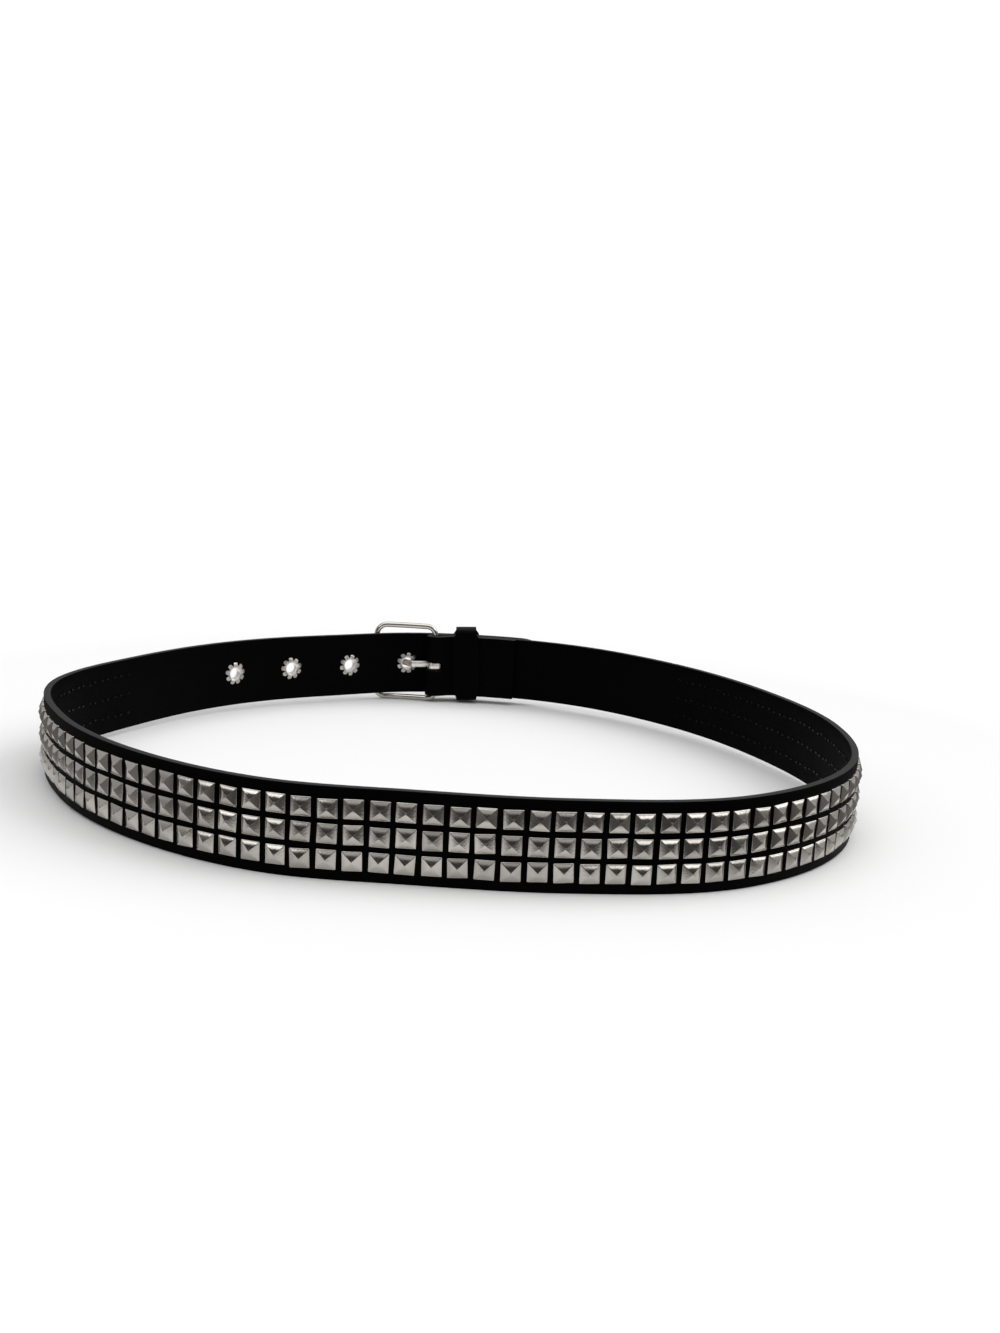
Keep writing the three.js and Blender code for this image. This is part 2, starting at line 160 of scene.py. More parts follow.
# %% Finishes as trees
class Finish(Nodes):
    """A material with one main shader."""

    def __init__(self, name, **constants):
        self.material = bpy.data.materials.new(name)
        self.material.use_nodes = True
        super().__init__(self.material.node_tree)
        self.shader = self.tree.nodes["Principled BSDF"]
        for socket, value in constants.items():
            self.shader.inputs[socket.replace("_", " ")].default_value = value
        self.place = self.add("ShaderNodeTexCoord", {}, {}, output="Object")

    def noise(self, size, detail=3, stretch=None):
        place = self.place
        if stretch:
            place = self.add("ShaderNodeMapping", {}, {"Vector": place, "Scale": stretch})
        return self.add("ShaderNodeTexNoise", {}, {"Vector": place, "Scale": 1 / size, "Detail": detail})

    def cells(self, size):
        inputs = {"Vector": self.place, "Scale": 1 / size}
        return self.add("ShaderNodeTexVoronoi", {"feature": "SMOOTH_F1"}, inputs, output="Distance")

    def spot(self, name):
        return self.add("ShaderNodeAttribute", {"attribute_name": name}, {}, output="Fac")

    def set(self, socket, value):
        self.feed(self.shader.inputs[socket], value)

    def bump(self, height, depth):
        normal = self.add("ShaderNodeBump", {}, {"Height": height, "Distance": depth, "Strength": 1.0})
        self.set("Normal", normal)


print("finishes can hold noise, cells, attributes and bumps")

# %% [markdown]
# ## Leather
# The strap is black bridle leather: a tight pebble grain, wiped with wax, so it is satin and takes a soft
# shine. The cut edge shows the fibres and is greyer. A scanned image would repeat and blur, so the grain is
# made from noise that reads the object's own place in space, and it keeps its real size everywhere.

# %% Leather
BLACK = (0.0004, 0.0004, 0.0004)
BLACK_WORN = (0.0016, 0.0015, 0.0014)
PEBBLE_SIZE = 0.75 * MM
PORE_SIZE = 0.22 * MM
PATCH_SIZE = 14 * MM
GRAIN_DEPTH = 0.12 * MM

def leather_finish(name, worn):
    leather = Finish(name, Specular_IOR_Level=0.02)
    pebble = leather.cells(PEBBLE_SIZE)
    pores = leather.noise(PORE_SIZE, 2)
    patches = leather.noise(PATCH_SIZE, 4)
    leather.set("Base Color", leather.blend(patches * worn, BLACK, BLACK_WORN))
    leather.set("Roughness", 0.36 + patches * 0.22 + pebble * 0.1)
    leather.bump(pebble * 0.75 + pores * 0.35, GRAIN_DEPTH)
    return leather


strap_leather = leather_finish("strap_leather_grain", 0.9)
keeper_leather = leather_finish("keeper_leather_grain", 1.0)
print("leather finishes", strap_leather.material.name, keeper_leather.material.name)

# %% Cut edge
EDGE_DARK = (0.006, 0.006, 0.006)
EDGE_PALE = (0.032, 0.031, 0.030)
FIBRE_SIZE = 0.5 * MM
FIBRE_STRETCH = (1, 1, 3)
FIBRE_DEPTH = 0.15 * MM

cut_edge = Finish("strap_cut_edge", Specular_IOR_Level=0.2)
fibres = cut_edge.noise(FIBRE_SIZE, 5, FIBRE_STRETCH)
cut_edge.set("Base Color", cut_edge.blend(fibres, EDGE_DARK, EDGE_PALE))
cut_edge.set("Roughness", 0.5 + fibres * 0.3)
cut_edge.bump(fibres, FIBRE_DEPTH)
print("the edge's fibres are", FIBRE_SIZE / MM, "mm apart")

# %% [markdown]
# ## Nickel
# The studs, buckle, prong and eyelets are nickel-plated, each with its own amount of wear, and the claws
# inside are tarnished nearly black. One function gives all but the studs fine scratches over slow clouds.
# The studs have a finish of their own: each one's tone is kept in an attribute of the mesh, and another says
# how far up the pyramid a point is, so that a broad bump can swell the facets as stamping does.

# %% Nickel
NICKEL_BRIGHT = (0.92, 0.89, 0.84)
NICKEL_PALE = (0.60, 0.57, 0.53)
NICKEL_DULL = (0.27, 0.255, 0.235)
CLAW_PALE = (0.018, 0.0175, 0.017)
CLAW_DARK = (0.002, 0.002, 0.002)
SCRATCH_SIZE = 0.9 * MM
SCRATCH_STRETCH = (1, 1, 5)
CLOUD_SIZE = 7 * MM
DENT_DEPTH = 0.05 * MM

def nickel_finish(name, pale, dull, roughness, wear):
    nickel = Finish(name, Metallic=1.0)
    scratches = nickel.noise(SCRATCH_SIZE, 6, SCRATCH_STRETCH)
    cloud = nickel.noise(CLOUD_SIZE, 3)
    nickel.set("Base Color", nickel.blend(cloud * wear, pale, dull))
    nickel.set("Roughness", roughness + scratches * 0.14)
    nickel.bump(scratches * 0.3 + cloud, DENT_DEPTH)
    return nickel


buckle_nickel = nickel_finish("buckle_polished_nickel", NICKEL_PALE, NICKEL_DULL, 0.06, 0.35)
eyelet_nickel = nickel_finish("eyelet_nickel", NICKEL_BRIGHT, NICKEL_PALE, 0.3, 0.4)
prong_nickel = nickel_finish("prong_worn_nickel", NICKEL_BRIGHT, NICKEL_PALE, 0.3, 0.5)
claw_nickel = nickel_finish("claw_tarnished_nickel", CLAW_PALE, CLAW_DARK, 0.2, 1.6)
print("nickel finishes", buckle_nickel.material.name, eyelet_nickel.material.name, prong_nickel.material.name)

# %% Nickel of the studs
SCUFF_SIZE = 0.8 * MM
STUD_SWELL = 0.9 * MM

stud_nickel = Finish("stud_stamped_nickel", Metallic=1.0)
scuffs = stud_nickel.noise(SCUFF_SIZE, 5)
tone = stud_nickel.spot("tone") * 0.8 + scuffs * 0.2
stud_nickel.set("Base Color", stud_nickel.blend(tone, NICKEL_DULL, NICKEL_PALE))
stud_nickel.set("Roughness", 0.08 + scuffs * 0.12)
rise = stud_nickel.spot("rise")
stud_nickel.bump(rise * (1 - rise) + scuffs * 0.05, STUD_SWELL)
print("the facets swell by up to", STUD_SWELL / 4 / MM, "mm in", stud_nickel.material.name)

# %% [markdown]
# ## The studio
# The floor is a wide pale disc in a white room. Polished metal shows its surroundings, so with white all
# round it would look like plaster. The metal is therefore shown a darker world than the camera: a dim wall
# behind the camera, a bright patch of ceiling, and a floor that is dark beyond the belt, darkest in the
# middle. That gives the facets their greys and leaves the picture's background white.

# %% Floor
FLOOR_REACH = 20.0

floor_shape = bmesh.new()
bmesh.ops.create_circle(floor_shape, cap_ends=True, segments=64, radius=FLOOR_REACH)
floor_mesh = bpy.data.meshes.new("pale_floor")
floor_shape.to_mesh(floor_mesh)
floor_shape.free()
floor = bpy.data.objects.new("pale_floor", floor_mesh)
bpy.context.scene.collection.objects.link(floor)
print("floor reaches", FLOOR_REACH, "m")

# %% Floor paint
# Metal sees the floor dark beyond the belt, darkest near the middle; distances in metres from the belt
FLOOR_TONES = (0.86, 0.86, 0.86), (0.88, 0.88, 0.88)
FLOOR_IN_METAL = (0.06, 0.058, 0.055)
FLOOR_ASIDE = (0.16, 0.156, 0.15)
DARK_MIDDLE = 0.045
DARK_HALF, ASIDE_HALF = 0.06, 0.2
LOOP_SCALE = (5.26, 5.95, 0.0)
SHADE_START, SHADE_END = 1.14, 1.32
GLOW_START, GLOW_END = 0.35, 1.2
FLOOR_GLOW = (0.5, 0.5, 0.5)

paint = Finish("floor_paint", Specular_IOR_Level=0.1, Roughness=0.8, Emission_Strength=1.0)
grain = paint.blend(paint.noise(0.4, 2), *FLOOR_TONES)
round_belt = paint.add("ShaderNodeVectorMath", {"operation": "MULTIPLY"}, {0: paint.place, 1: LOOP_SCALE})
beyond = paint.between(paint.length(round_belt), SHADE_START, SHADE_END)
off_middle = paint.axis(paint.place, "X") - DARK_MIDDLE
aside = paint.between(off_middle * off_middle, DARK_HALF ** 2, ASIDE_HALF ** 2)
mirrored = paint.blend(aside, FLOOR_IN_METAL, FLOOR_ASIDE)
paint.set("Base Color", paint.blend(beyond * paint.ray("Is Glossy Ray"), grain, mirrored))
far = paint.between(paint.length(paint.place), GLOW_START, GLOW_END)
paint.set("Emission Color", paint.blend(far, (0.0, 0.0, 0.0), FLOOR_GLOW))
floor_mesh.materials.append(paint.material)
print("in reflections the floor darkens from", SHADE_START, "to", SHADE_END, "times the loop's size")

# %% Room
ROOM_SEEN = (1.06, 1.06, 1.06)
WALLS = (0.5, 0.5, 0.5)
CEILING = (0.55, 0.55, 0.55)
ZENITH = (1.75, 1.75, 1.75)
WALL_BEHIND = (0.06, 0.06, 0.06)

world = bpy.data.worlds.new("studio_room")
bpy.context.scene.world = world
world.use_nodes = True
room = Nodes(world.node_tree)
direction = room.add("ShaderNodeTexCoord", {}, {}, output="Generated")
height = room.axis(direction, "Z")
behind = room.between(room.axis(direction, "Y"), -0.05, -0.55) * room.between(height, 0.62, 0.45)
ceiling = room.blend(room.between(height, 0.78, 0.9), CEILING, ZENITH)
walls = room.blend(room.between(height, 0.38, 0.7), WALLS, ceiling)
reflected = room.blend(behind, walls, WALL_BEHIND)
background = world.node_tree.nodes["Background"]
room.feed(background.inputs["Color"], room.blend(room.ray("Is Camera Ray"), reflected, ROOM_SEEN))
background.inputs["Strength"].default_value = 1.0
bpy.context.scene.view_settings.view_transform = "Standard"
print("the room is", ROOM_SEEN[0], "bright to the camera and", WALL_BEHIND[0], "behind it")

# %% [markdown]
# ## The lamps
# Two weak, broad lamps stand above and behind the camera, left and right, and put a white flash on the upper
# facets. A sun lamp with a very wide angle works like a large window on the right: it leaves the soft, faint
# shadow on the left.

# %% Lamps
LAMP_PLACES = {"left_softbox": (-1.0, -1.0, 1.0), "right_softbox": (1.0, -1.0, 1.0)}
LAMP_AIM = Vector((0, -0.17, 0.02))
LAMP_SIZE = (1.2, 0.45)
LAMP_POWER = 2.5
WINDOW_DIRECTION = Vector((-0.95, -0.25, -0.85))
WINDOW_ANGLE = 45
WINDOW_STRENGTH = 1.1

def lamp(data, place, direction):
    light = bpy.data.objects.new(data.name, data)
    light.location = place
    light.rotation_euler = direction.to_track_quat("-Z", "Y").to_euler()
    bpy.context.scene.collection.objects.link(light)


for name, place in LAMP_PLACES.items():
    softbox = bpy.data.lights.new(name, "AREA")
    softbox.shape = "RECTANGLE"
    softbox.size, softbox.size_y = LAMP_SIZE
    softbox.energy = LAMP_POWER
    lamp(softbox, place, LAMP_AIM - Vector(place))
window = bpy.data.lights.new("window_light", "SUN")
window.energy = WINDOW_STRENGTH
window.angle = math.radians(WINDOW_ANGLE)
lamp(window, (0, 0, 0), WINDOW_DIRECTION)
print(len(LAMP_PLACES), "softboxes of", LAMP_POWER, "W and one window")

# %% [markdown]
# ## The line of the belt
# A stiff belt that stands on its edge is a vertical wall on a closed curve. The curve is given by sixteen
# radii round the loop, joined smoothly. A place on the belt is then a distance along that curve and an offset
# outwards, which is how a belt maker thinks of it too: so far from the buckle, on this face of the leather.

# %% Radii round the loop
STRAP_WIDTH = 36.2 * MM
LEATHER = 3 * MM
CLEARANCE = 0.4 * MM
LOOP_RADIUS = 175 * MM
LOOP_SHARES = (
    1.034, 1.053, 1.039, 1.043, 1.086, 1.109, 1.042, 0.907,
    0.842, 0.879, 0.918, 0.979, 1.044, 0.995, 0.986, 0.991,
)
# Where the heel bar lies, in degrees round the loop from its middle at the back
HEEL_BEARING = -3.8
LOOP_STEPS = 1440

def glide(before, start, end, after, t):
    """A soft curve's place from start to end, led by its neighbours on either side."""
    slope = (end - before) * t
    bend = (2 * before - 5 * start + 4 * end - after) * t ** 2
    twist = (3 * start - before - 3 * end + after) * t ** 3
    return start + (slope + bend + twist) * 0.5


def loop_point(bearing):
    place = (bearing / 360 % 1) * len(LOOP_SHARES)
    row = int(place)
    near = (LOOP_SHARES[(row + step) % len(LOOP_SHARES)] for step in (-1, 0, 1, 2))
    radius = LOOP_RADIUS * glide(*near, place - row)
    angle = math.radians(bearing)
    return Vector((math.sin(angle), math.cos(angle))) * radius


loop_points = [loop_point(HEEL_BEARING + 360 * step / LOOP_STEPS) for step in range(LOOP_STEPS + 1)]
loop_distances = [0.0]
for last, point in zip(loop_points, loop_points[1:]):
    loop_distances.append(loop_distances[-1] + (point - last).length)
LOOP_LENGTH = loop_distances[-1]
print("the loop is", round(LOOP_LENGTH / MM), "mm long")

# %% Places along the loop
# Degrees to either side of a point over which the heading is taken
HEADING_REACH = 0.05

def line_at(distance):
    """Point, heading and outward direction of the loop at a distance from the heel bar."""
    along = distance % LOOP_LENGTH
    row = min(bisect.bisect_right(loop_distances, along), LOOP_STEPS) - 1
    share = (along - loop_distances[row]) / (loop_distances[row + 1] - loop_distances[row])
    bearing = HEEL_BEARING + 360 * (row + share) / LOOP_STEPS
    heading = (loop_point(bearing + HEADING_REACH) - loop_point(bearing - HEADING_REACH)).normalized()
    return loop_point(bearing), heading, Vector((-heading.y, heading.x))


def plan(distance, offset):
    point, _, outward = line_at(distance)
    return point + outward * offset


print("the heel bar lies near", [round(side / MM) for side in plan(0, 0)], "mm")

# %% The free end's climb and the frames of small parts
LAP_RAMP = 70 * MM
LAP_REST = 8 * MM
LAP_GAP = 1.4 * MM

def smooth(value, low, high):
    t = min(1, max(0, (value - low) / (high - low)))
    return t * t * (3 - 2 * t)


def lap(distance):
    """How far the free end's outer face stands outside the loop's line."""
    return smooth(distance, LOOP_LENGTH - LAP_RAMP, LOOP_LENGTH - LAP_REST) * (LEATHER + LAP_GAP)


def placing(point, heading, height):
    """X outwards, Y back along the strap and Z up, at a point in plan."""
    return Matrix((
        (-heading.y, -heading.x, 0, point.x),
        (heading.x, -heading.y, 0, point.y),
        (0, 0, 1, height),
        (0, 0, 0, 1),
    ))


print("the free end climbs", round(lap(LOOP_LENGTH) / MM, 1), "mm over the buckle's bar")

# %% [markdown]
# ## The buckle's frame
# A wire buckle is one round wire bent into a rectangle and brazed shut, bowed a little to follow the waist.
# A curve with a round bevel would do, but circles set along the line and bridged into a tube give a clean
# closed mesh at once. This piece also tells how far the whole belt is turned and shifted when it is set down.

# %% The buckle's bars
WIRE_RADIUS = 1.6 * MM
FRAME_ROOM_ABOVE = 3.6 * MM
FRAME_ROOM_BELOW = 1 * MM
FRAME_CORNER = 6 * MM
FRAME_BAR_DISTANCE = 34 * MM
FRAME_BOW = 1.2 * MM

FOLD_RADIUS = WIRE_RADIUS + CLEARANCE
BAR_OFFSET = -(LEATHER + FOLD_RADIUS)
heel_centre = plan(0, BAR_OFFSET)
far_place = LOOP_LENGTH - FRAME_BAR_DISTANCE
far_centre = plan(far_place, lap(far_place) + CLEARANCE + WIRE_RADIUS)
frame_span = far_centre - heel_centre
frame_along = frame_span.normalized()
frame_out = Vector((frame_along.y, -frame_along.x))
print("the frame's bars are", round(frame_span.length / MM, 1), "mm apart")

# %% Tubes
WIRE_SIDES = 18

def tube(rings, closed, roundness=2):
    """Bridges rings, each a matrix for a unit circle, into a tube. Roundness over 2 squares the section."""
    shape = bmesh.new()
    loops = []
    for matrix in rings:
        made = bmesh.ops.create_circle(shape, segments=WIRE_SIDES, radius=1)
        for vert in made["verts"]:
            size = abs(vert.co.x) ** roundness + abs(vert.co.y) ** roundness
            vert.co = matrix @ (vert.co / size ** (1 / roundness))
        loops.append({edge for vert in made["verts"] for edge in vert.link_edges})
    pairs = list(zip(loops, loops[1:]))
    if closed:
        pairs.append((loops[-1], loops[0]))
    for first, second in pairs:
        bmesh.ops.bridge_loops(shape, edges=list(first | second))
    if not closed:
        bmesh.ops.holes_fill(shape, edges=shape.edges, sides=WIRE_SIDES)
    bmesh.ops.recalc_face_normals(shape, faces=shape.faces)
    return shape


def ring_matrix(centre, side, out, wide, deep):
    """A circle's plane through two directions, with its two radii."""
    rows = (side * wide, out * deep, side.cross(out))
    matrix = Matrix([[row[axis] for row in rows] for axis in range(3)]).to_4x4()
    return Matrix.Translation(centre) @ matrix


print("tubes have", WIRE_SIDES, "sides")

# %% Line of the frame
CORNER_STEPS = 8
RAIL_STEPS = 12

rail_above = STRAP_WIDTH + FRAME_ROOM_ABOVE + WIRE_RADIUS
rail_below = -FRAME_ROOM_BELOW - WIRE_RADIUS

def frame_path():
    """Share of the way to the far bar, height and turn, round the rectangle."""
    upper_heel = rail_above - STRAP_WIDTH
    lower_heel = -rail_below
    length = frame_span.length
    corners = (
        (FRAME_CORNER, length - FRAME_CORNER, rail_above - FRAME_CORNER, 0),
        (upper_heel, upper_heel, STRAP_WIDTH, 90),
        (lower_heel, lower_heel, 0, 180),
        (FRAME_CORNER, length - FRAME_CORNER, rail_below + FRAME_CORNER, 270),
    )
    path = []
    for number, (radius, along, up, start) in enumerate(corners):
        for step in range(CORNER_STEPS + 1):
            angle = math.radians(start + 90 * step / CORNER_STEPS)
            path.append((along + radius * math.cos(angle), up + radius * math.sin(angle), angle))
        following = corners[(number + 1) % 4]
        end = math.radians(start + 90)
        goal_along = following[1] + following[0] * math.cos(end)
        goal_up = following[2] + following[0] * math.sin(end)
        last_along, last_up, _ = path[-1]
        for step in range(1, RAIL_STEPS):
            t = step / RAIL_STEPS
            path.append((last_along + (goal_along - last_along) * t, last_up + (goal_up - last_up) * t, end))
    return [(along / length, up, angle) for along, up, angle in path]


print("the frame is", round((rail_above - rail_below) / MM + 2 * WIRE_RADIUS / MM, 1), "mm tall")

# %% Frame of the buckle
frame_rings = []
for share, up, angle in frame_path():
    bow = FRAME_BOW * 4 * share * (1 - share)
    spot = heel_centre + frame_span * share + frame_out * bow
    side = Vector((*(frame_along * math.cos(angle)), math.sin(angle)))
    out = Vector((*frame_out, 0))
    centre = Vector((spot.x, spot.y, up))
    frame_rings.append(ring_matrix(centre, side, out, WIRE_RADIUS, WIRE_RADIUS))
frame_shape = tube(frame_rings, closed=True)
print("the frame has", len(frame_shape.faces), "faces")

# %% [markdown]
# ## Setting the belt down
# The buckle is taller than the strap, so the loop leans on the buckle's lower rail and on its own front edge.
# All pieces are made upright and then turned and moved by this one matrix, which lands the frame on its
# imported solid.

# %% The lean
front_depth = min(point.y for point in loop_points)
overhang = WIRE_RADIUS - rail_below
lean = math.atan2(overhang, (heel_centre.y + far_centre.y) / 2 - front_depth)
tilt = Matrix.Rotation(lean, 4, "X")
tilted = [tilt @ vert.co for vert in frame_shape.verts]
own_low = Vector(min(place[axis] for place in tilted) for axis in range(3))
own_high = Vector(max(place[axis] for place in tilted) for axis in range(3))
box_low, box_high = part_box("buckle_frame")
shift = (box_low + box_high - own_low - own_high) / 2
shift.z = box_low.z - own_low.z
SET_DOWN = Matrix.Translation(shift) @ tilt
print("leaning", round(math.degrees(lean), 2), "degrees")
print("shifted", [round(side / MM, 2) for side in shift], "mm")

# %% Set down
def add_piece(name, shape, finishes, nodes, sharp=35):
    """Sets a shape down on the frame as a finished piece."""
    bmesh.ops.transform(shape, matrix=SET_DOWN, verts=shape.verts)
    mesh = bpy.data.meshes.new(name)
    shape.to_mesh(mesh)
    shape.free()
    for finish in finishes:
        mesh.materials.append(finish.material)
    mesh.shade_smooth()
    mesh.set_sharp_from_angle(angle=math.radians(sharp))
    piece = bpy.data.objects.new(name, mesh)
    bpy.context.scene.collection.objects.link(piece)
    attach(piece, "root")
    if nodes:
        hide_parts(*nodes)
    print(name, len(mesh.polygons), "faces")
    return piece


add_piece("buckle_wire_frame", frame_shape, [buckle_nickel], ["buckle_frame"])

# %% [markdown]
# ## The strap
# The strap is cut as a flat strip, its free end rounded, its edges eased with a plane, and the eyelet holes
# and the prong's slot punched while it lies flat. Only then is it folded round the buckle's bar and closed
# into a loop. The mesh goes the same way: a flat grid, extruded to the leather's thickness, bevelled, cut
# with booleans, and bent onto the line at the end, so that no hole is stretched.

# %% Stations along the strip
FOLD_LENGTH = 50 * MM
WRAP_RADIUS = FOLD_RADIUS + LEATHER / 2
WRAP_LENGTH = math.pi * WRAP_RADIUS
STRIP_LEAD = FOLD_LENGTH + WRAP_LENGTH
TIP_PAST_BAR = 74 * MM
TIP_ROUNDING = 22 * MM
STUD_PITCH = 9.8 * MM
PLAIN_STEP = STUD_PITCH / 4
WRAP_STEP = 0.8 * MM
TIP_STEP = 1.1 * MM

def spread(start, end, step):
    count = max(1, math.ceil((end - start) / step - 1e-6))
    return [start + (end - start) * number / count for number in range(count)]


tip_start = STRIP_LEAD + LOOP_LENGTH + TIP_PAST_BAR - TIP_ROUNDING
tip_end = STRIP_LEAD + LOOP_LENGTH + TIP_PAST_BAR
strip_places = (
    spread(0, FOLD_LENGTH, PLAIN_STEP)
    + spread(FOLD_LENGTH, STRIP_LEAD, WRAP_STEP)
    + spread(STRIP_LEAD, tip_start, PLAIN_STEP)
    + spread(tip_start, tip_end, TIP_STEP)
    + [tip_end]
)
print("the strip is", round(tip_end / MM), "mm long with", len(strip_places), "stations")

# %% Where the strip goes
KEEPER_WIDTH = 15.5 * MM
KEEPER_FROM_BAR = 20 * MM

def strip_frame(place):
    """Middle of the leather and the direction its grain side faces, at a place on the flat strip."""
    if place < FOLD_LENGTH:
        distance = FOLD_LENGTH - place
        settled = smooth(distance, 0, KEEPER_FROM_BAR - KEEPER_WIDTH / 2)
        facing = BAR_OFFSET - FOLD_RADIUS + settled * (FOLD_RADIUS - BAR_OFFSET - LEATHER - CLEARANCE)
        point, _, outward = line_at(distance)
        return point + outward * (facing - LEATHER / 2), -outward
    if place < STRIP_LEAD:
        angle = math.pi * (place - FOLD_LENGTH) / WRAP_LENGTH
        _, heading, outward = line_at(0)
        ray = -outward * math.cos(angle) - heading * math.sin(angle)
        return heel_centre + ray * WRAP_RADIUS, ray
    distance = place - STRIP_LEAD
    point, _, outward = line_at(distance)
    return point + outward * (lap(distance) - LEATHER / 2), outward


print("the fold is", round(FOLD_LENGTH / MM), "mm long and goes", round(WRAP_LENGTH / MM), "mm round the bar")

# %% Cut the strip
STRIP_ROWS = 8
TIP_BLUNT = 1.2 * MM
EDGE_EASE = 0.35 * MM
SHARP_CORNER = math.radians(60)

def tip_half(place):
    share = max(0, (place - (strip_places[-1] - TIP_ROUNDING)) / TIP_ROUNDING)
    return max(TIP_BLUNT, STRAP_WIDTH / 2 * math.sqrt(max(0, 1 - share ** 2)))


strip = bmesh.new()
columns = len(strip_places) - 1
bmesh.ops.create_grid(strip, x_segments=columns, y_segments=STRIP_ROWS, size=0.5)
for vert in strip.verts:
    place = strip_places[round((vert.co.x + 0.5) * columns)]
    vert.co = Vector((place, vert.co.y * 2 * tip_half(place), -LEATHER / 2))
grown = bmesh.ops.extrude_face_region(strip, geom=strip.faces[:], use_keep_orig=True)
raised = [item for item in grown["geom"] if isinstance(item, bmesh.types.BMVert)]
bmesh.ops.translate(strip, vec=(0, 0, LEATHER), verts=raised)
bmesh.ops.recalc_face_normals(strip, faces=strip.faces)
corners = [edge for edge in strip.edges if edge.calc_face_angle(0) > SHARP_CORNER]
bmesh.ops.bevel(
    strip, geom=corners, offset=EDGE_EASE, segments=2, profile=0.5, affect="EDGES", material=-1,
    clamp_overlap=True,
)
print("the flat strip has", len(strip.faces), "faces")

# %% Holes and slot
EYELET_COUNT = 5
EYELET_PITCH = 36.8 * MM
EYELET_IN_USE = 4
EYELET_FROM_BAR = 16 * MM
EYELET_BORE = 6.4 * MM
EYELET_WALL = 0.5 * MM
PRONG_WIDTH = 3.9 * MM
SLOT_MARGIN = 0.7 * MM
HOLE_SIDES = 32

def eyelet_distance(index):
    return LOOP_LENGTH - EYELET_FROM_BAR + (index + 1 - EYELET_IN_USE) * EYELET_PITCH


def punch(place, radius, half_length=0.0):
    """A round or long-ended cutter through the flat strip."""
    shape = bmesh.new()
    turned = Matrix.Translation((0, 0, -LEATHER)) @ Matrix.Rotation(math.pi / HOLE_SIDES, 4, "Z")
    bmesh.ops.create_circle(shape, cap_ends=True, segments=HOLE_SIDES, radius=radius, matrix=turned)
    for vert in shape.verts:
        vert.co.x += math.copysign(half_length, vert.co.x) + place
    pushed = bmesh.ops.extrude_face_region(shape, geom=shape.faces[:], use_keep_orig=True)
    moved = [item for item in pushed["geom"] if isinstance(item, bmesh.types.BMVert)]
    bmesh.ops.translate(shape, vec=(0, 0, 2 * LEATHER), verts=moved)
    bmesh.ops.recalc_face_normals(shape, faces=shape.faces)
    return shape


hole_radius = EYELET_BORE / 2 + EYELET_WALL
slot_half = WRAP_LENGTH / 2 + FOLD_RADIUS + LEATHER + CLEARANCE
slot_radius = PRONG_WIDTH / 2 + SLOT_MARGIN
cuts = [punch(STRIP_LEAD + eyelet_distance(index), hole_radius) for index in range(EYELET_COUNT)]
cuts.append(punch(FOLD_LENGTH + WRAP_LENGTH / 2, slot_radius, slot_half - slot_radius))
print(len(cuts), "cutters, the slot's", round(2 * slot_half / MM, 1), "mm long")

# %% Punch the strip
def as_object(name, shape):
    mesh = bpy.data.meshes.new(name)
    shape.to_mesh(mesh)
    shape.free()
    thing = bpy.data.objects.new(name, mesh)
    bpy.context.scene.collection.objects.link(thing)
    return thing


blank = as_object("strip_blank", strip)
cutters = [as_object("punch", cut) for cut in cuts]
for cutter in cutters:
    cut = blank.modifiers.new("cut", "BOOLEAN")
    cut.operation = "DIFFERENCE"
    cut.solver = "EXACT"
    cut.object = cutter
punched = bpy.data.meshes.new_from_object(blank.evaluated_get(bpy.context.evaluated_depsgraph_get()))
for thing in [blank, *cutters]:
    bpy.data.objects.remove(thing)
print("punched", EYELET_COUNT, "holes and one slot, leaving", len(punched.polygons), "faces")

# %% Bend the strip onto the loop
EDGE_FACING = 0.8

strap = bmesh.new()
strap.from_mesh(punched)
strap.normal_update()
for face in strap.faces:
    face.material_index = 1 if abs(face.normal.y) > EDGE_FACING else 0
for vert in strap.verts:
    middle, facing = strip_frame(vert.co.x)
    spot = middle + facing * vert.co.z
    vert.co = Vector((spot.x, spot.y, STRAP_WIDTH / 2 - vert.co.y))
bmesh.ops.triangulate(strap, faces=[face for face in strap.faces if len(face.verts) > 4])
strap.normal_update()
print("the strap's volume is", round(strap.calc_volume(signed=True) / MM ** 3 / 1000), "cm3")
add_piece("strap_leather_band", strap, [strap_leather, cut_edge], ["studded_strap"])

# %% [markdown]
# ## The studs
# A pyramid stud is stamped from sheet: a square skirt, four facets that meet in a soft point, and ridges that
# are rounded because the metal bends rather than folds. An array would set them all alike, but hands set the
# real ones. So one small stud is modelled and stamped 228 times, three to a column, each turned and tipped by
# a hair and a little brighter or duller than the next.

# %% One stud
STUD_SIZE = 7.8 * MM
STUD_SKIRT = 1.1 * MM
STUD_PEAK = 2.5 * MM
STUD_SUNK = 0.3 * MM
STUD_RIM = 0.4 * MM
STUD_RIDGE = 0.12 * MM

stud = bmesh.new()
bmesh.ops.create_cube(stud, size=1)
bmesh.ops.scale(stud, vec=(STUD_SIZE, STUD_SIZE, STUD_SKIRT + STUD_SUNK), verts=stud.verts)
bmesh.ops.translate(stud, vec=(0, 0, (STUD_SKIRT - STUD_SUNK) / 2), verts=stud.verts)
rim = [edge for edge in stud.edges if max(vert.co.z for vert in edge.verts) > 0]
bmesh.ops.bevel(stud, geom=rim, offset=STUD_RIM, segments=2, profile=0.5, affect="EDGES", material=-1)
crown_face = max(stud.faces, key=lambda face: face.calc_center_median().z)
crown = bmesh.ops.poke(stud, faces=[crown_face], offset=STUD_PEAK - STUD_SKIRT)
ridges = crown["verts"][0].link_edges[:]
bmesh.ops.bevel(stud, geom=ridges, offset=STUD_RIDGE, segments=1, profile=0.5, affect="EDGES", material=-1)
bmesh.ops.rotate(stud, matrix=Matrix.Rotation(math.pi / 2, 3, "Y"), verts=stud.verts)
stud_mesh = bpy.data.meshes.new("one_stud")
